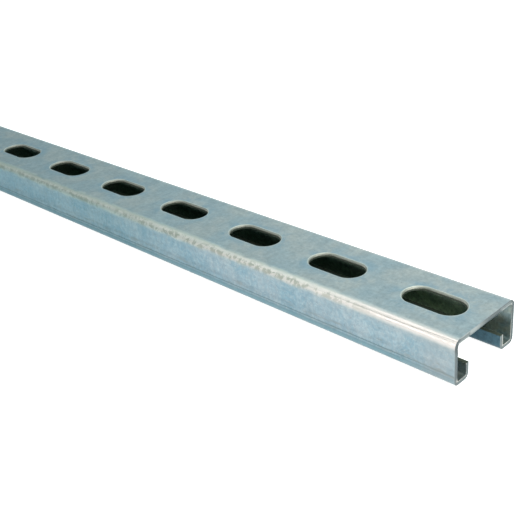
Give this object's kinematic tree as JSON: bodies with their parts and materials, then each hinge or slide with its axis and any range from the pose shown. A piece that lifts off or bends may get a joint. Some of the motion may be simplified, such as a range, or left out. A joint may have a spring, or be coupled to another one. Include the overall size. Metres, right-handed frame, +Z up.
{
  "type": "slotted strut channel",
  "caption": "Length of shallow C-section steel strut channel with inturned lips and a row of long slots punched in its web, for bolting up supports and framing.",
  "frame": {"origin": "the middle of the length and width, on the plane that the flanges rest on", "axes": "+X along the length, +Z up from the open side to the slotted web, +Y across the width"},
  "size_m": [0.6096, 0.0412, 0.0206],
  "materials": {
    "galvanised_steel": "pre-galvanised zinc, satin, with rolling streaks"
  },
  "bodies": {
    "root": {"strut_channel": "galvanised_steel"}
  },
  "joints": []
}
